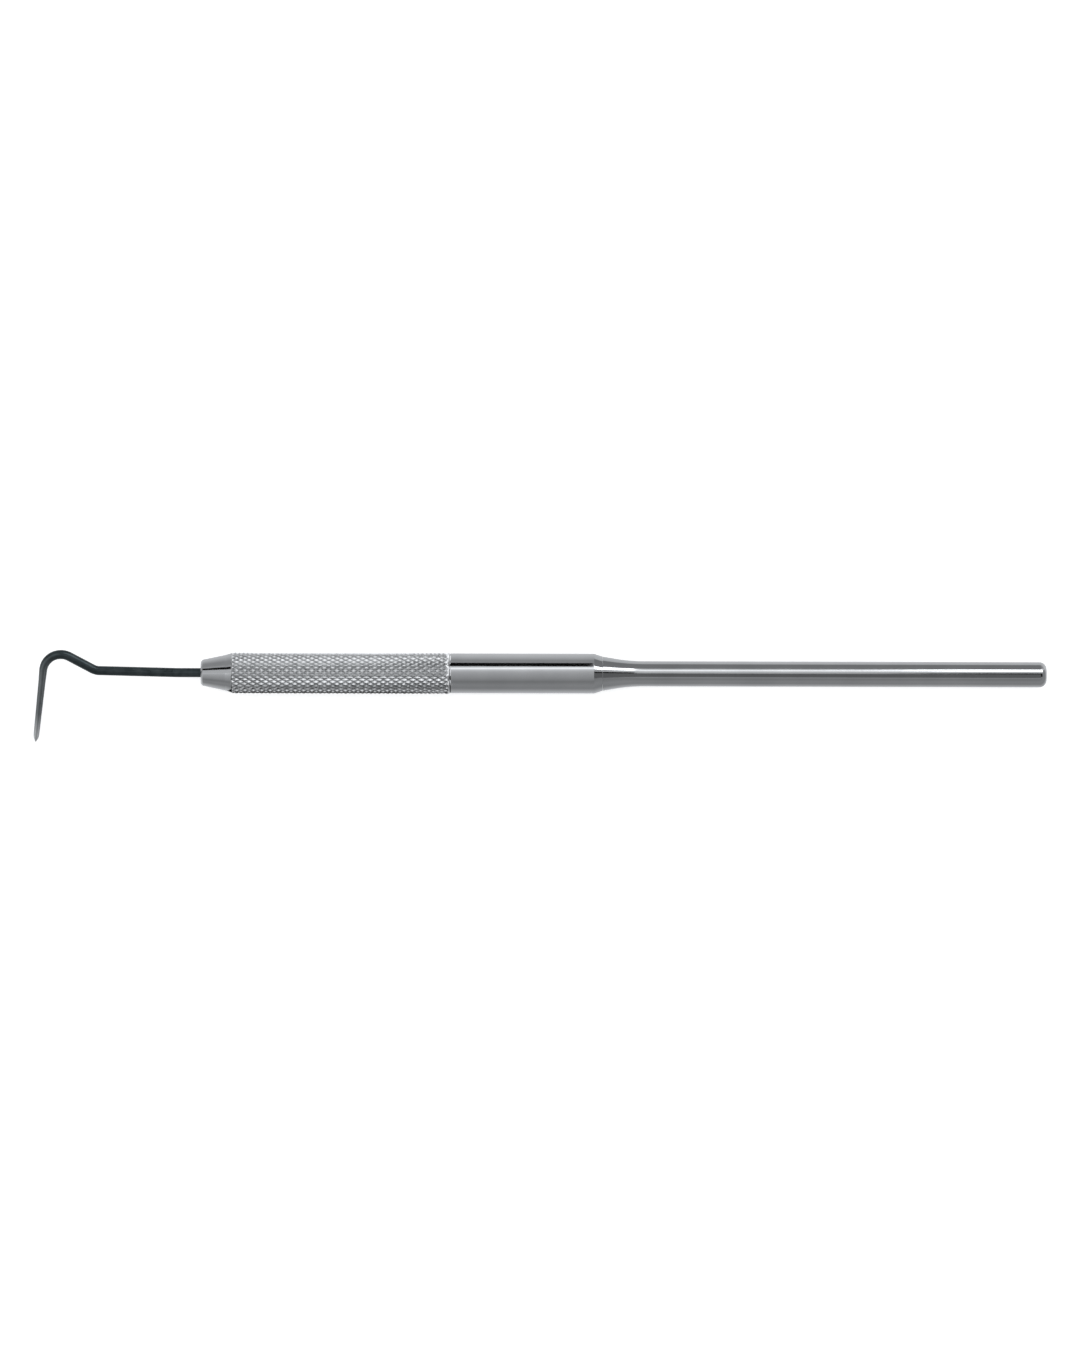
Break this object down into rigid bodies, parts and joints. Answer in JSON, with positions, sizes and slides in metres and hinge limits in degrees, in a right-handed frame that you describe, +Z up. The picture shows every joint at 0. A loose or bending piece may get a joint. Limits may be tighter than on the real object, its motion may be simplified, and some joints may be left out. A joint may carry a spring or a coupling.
{
  "type": "hook scriber",
  "caption": "Hook scriber: a bent, pointed needle held by a split collet and a screwed nose cone in a knurled handle that tapers to a thin round tail.",
  "frame": {"origin": "centre of the small flat on the tail's end", "axes": "+X along the handle from the needle to the tail, +Z up as the tool lies on its grip and its needle's point; the hook's leg points to -Y"},
  "size_m": [0.17, 0.0155, 0.0068],
  "materials": {
    "blackened_steel": "hardened and blackened, ground bright towards the tip",
    "turned_steel": "fine-turned and polished",
    "spring_steel": "oil-hardened, dull",
    "bush_brass": "as turned",
    "knurled_steel": "fine diamond knurl in front, polished barrel behind"
  },
  "bodies": {
    "handle": {"grip_tube": "knurled_steel", "collet_bush": "bush_brass", "tail_stem": "turned_steel"},
    "collet": {"collet": "spring_steel"},
    "nose": {"nose_cone": "turned_steel"},
    "needle": {"scribing_needle": "blackened_steel"}
  },
  "joints": [
    {"name": "nose_advance", "type": "slide", "parent": "handle", "child": "collet", "axis": [-1, 0, 0], "range_m": [0, 0.0024]},
    {"name": "nose_turn", "type": "hinge", "parent": "collet", "child": "nose", "pos_m": [-0.1366, 0, 0], "axis": [-1, 0, 0], "range_deg": [0, 1080.1]},
    {"name": "needle_slide", "type": "slide", "parent": "collet", "child": "needle", "axis": [-1, 0, 0], "range_m": [-0.003, 0.012]}
  ],
  "couplings": [
    {"joint": "nose_turn", "follows": "nose_advance", "rad_per_m": 7854}
  ]
}
